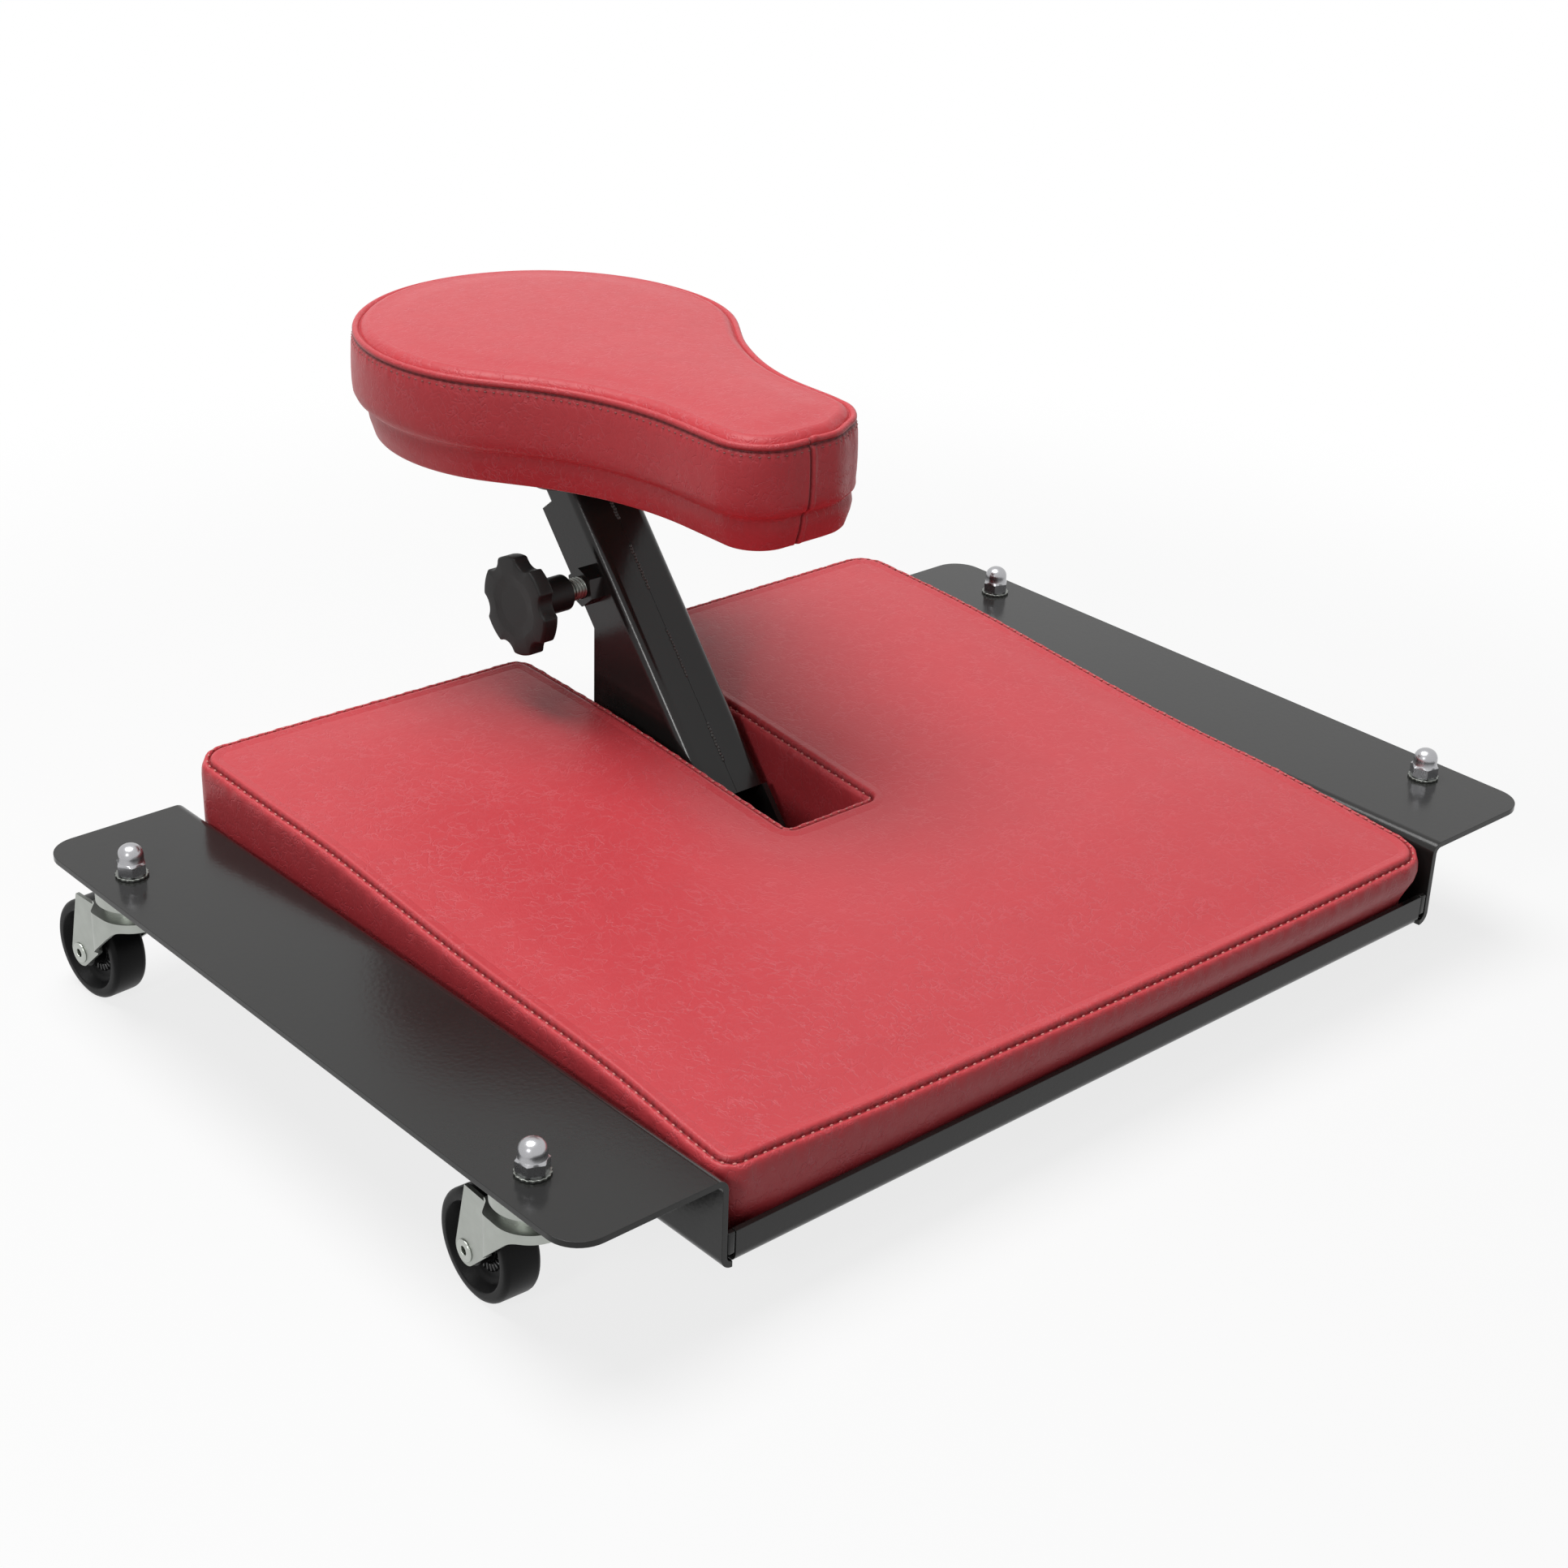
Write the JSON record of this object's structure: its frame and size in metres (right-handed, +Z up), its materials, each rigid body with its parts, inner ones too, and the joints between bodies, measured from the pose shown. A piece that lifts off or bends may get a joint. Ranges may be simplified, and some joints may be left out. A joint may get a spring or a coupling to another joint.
{
  "type": "tilers rolling stool",
  "caption": "Low rolling work stool: a folded steel tray on swivel casters holds a sloping kneeling pad and a leaning post with a padded, height-adjustable saddle.",
  "frame": {"origin": "on the floor under the middle of the overall length and width, casters at rest", "axes": "+X to the right seen from the front, +Y to the rear, towards the saddle's round end, +Z up"},
  "size_m": [0.624, 0.528, 0.2855],
  "materials": {
    "tray_paint": "satin black paint",
    "vinyl": "red grained vinyl over foam",
    "plywood": "raw plywood",
    "zinc": "bright zinc plate",
    "zinc_dark": "painted with the post",
    "chrome": "polished nickel",
    "black_plastic": "moulded, satin",
    "black_rubber": "moulded nylon",
    "nylon": "natural nylon"
  },
  "bodies": {
    "base": {"base_pan": "tray_paint", "pad_board": "plywood", "kneeling_pad": "vinyl", "pad_screws": "zinc", "post_plate_left": "tray_paint", "post_plate_right": "tray_paint", "post_back_plate": "tray_paint", "clamp_nut": "zinc_dark", "acorn_nuts": "chrome", "nut_washers": "chrome", "left_front_stem": "zinc", "right_front_stem": "zinc", "left_rear_stem": "zinc", "right_rear_stem": "zinc"},
    "seat": {"seat_tube": "tray_paint", "tube_plug": "black_plastic", "seat_plate": "tray_paint", "seat_board": "plywood", "seat_cushion": "vinyl", "seat_screws": "zinc"},
    "knob": {"knob_head": "black_plastic", "knob_stud": "zinc"},
    "left_front_swivel": {"left_front_fork": "zinc", "left_front_axle": "zinc", "left_front_thrust_ring": "nylon"},
    "left_front_roller": {"left_front_wheel": "black_rubber"},
    "right_front_swivel": {"right_front_fork": "zinc", "right_front_axle": "zinc", "right_front_thrust_ring": "nylon"},
    "right_front_roller": {"right_front_wheel": "black_rubber"},
    "left_rear_swivel": {"left_rear_fork": "zinc", "left_rear_axle": "zinc", "left_rear_thrust_ring": "nylon"},
    "left_rear_roller": {"left_rear_wheel": "black_rubber"},
    "right_rear_swivel": {"right_rear_fork": "zinc", "right_rear_axle": "zinc", "right_rear_thrust_ring": "nylon"},
    "right_rear_roller": {"right_rear_wheel": "black_rubber"}
  },
  "joints": [
    {"name": "seat_height", "type": "slide", "parent": "base", "child": "seat", "axis": [0, 0.6401, 0.7683], "range_m": [-0.01, 0.08]},
    {"name": "clamp_turn", "type": "hinge", "parent": "base", "child": "knob", "pos_m": [-0.04, 0.0976, 0.16138], "axis": [-1, 0, 0], "range_deg": [0, 540]},
    {"name": "left_front_swivel", "type": "hinge", "parent": "base", "child": "left_front_swivel", "pos_m": [-0.2918, -0.2124, 0.0735], "axis": [0, 0, 1], "continuous": true},
    {"name": "left_front_roll", "type": "hinge", "parent": "left_front_swivel", "child": "left_front_roller", "pos_m": [-0.29024, -0.18044, 0.0255], "axis": [0.9988, -0.0488, 0], "continuous": true},
    {"name": "right_front_swivel", "type": "hinge", "parent": "base", "child": "right_front_swivel", "pos_m": [0.2918, -0.2124, 0.0735], "axis": [0, 0, 1], "continuous": true},
    {"name": "right_front_roll", "type": "hinge", "parent": "right_front_swivel", "child": "right_front_roller", "pos_m": [0.29068, -0.18042, 0.0255], "axis": [0.9994, 0.0349, 0], "continuous": true},
    {"name": "left_rear_swivel", "type": "hinge", "parent": "base", "child": "left_rear_swivel", "pos_m": [-0.2918, 0.1044, 0.0735], "axis": [0, 0, 1], "continuous": true},
    {"name": "left_rear_roll", "type": "hinge", "parent": "left_rear_swivel", "child": "left_rear_roller", "pos_m": [-0.29414, 0.13631, 0.0255], "axis": [0.9973, 0.0732, 0], "continuous": true},
    {"name": "right_rear_swivel", "type": "hinge", "parent": "base", "child": "right_rear_swivel", "pos_m": [0.2918, 0.1044, 0.0735], "axis": [0, 0, 1], "continuous": true},
    {"name": "right_rear_roll", "type": "hinge", "parent": "right_rear_swivel", "child": "right_rear_roller", "pos_m": [0.29347, 0.13636, 0.0255], "axis": [0.9986, -0.0523, 0], "continuous": true}
  ]
}
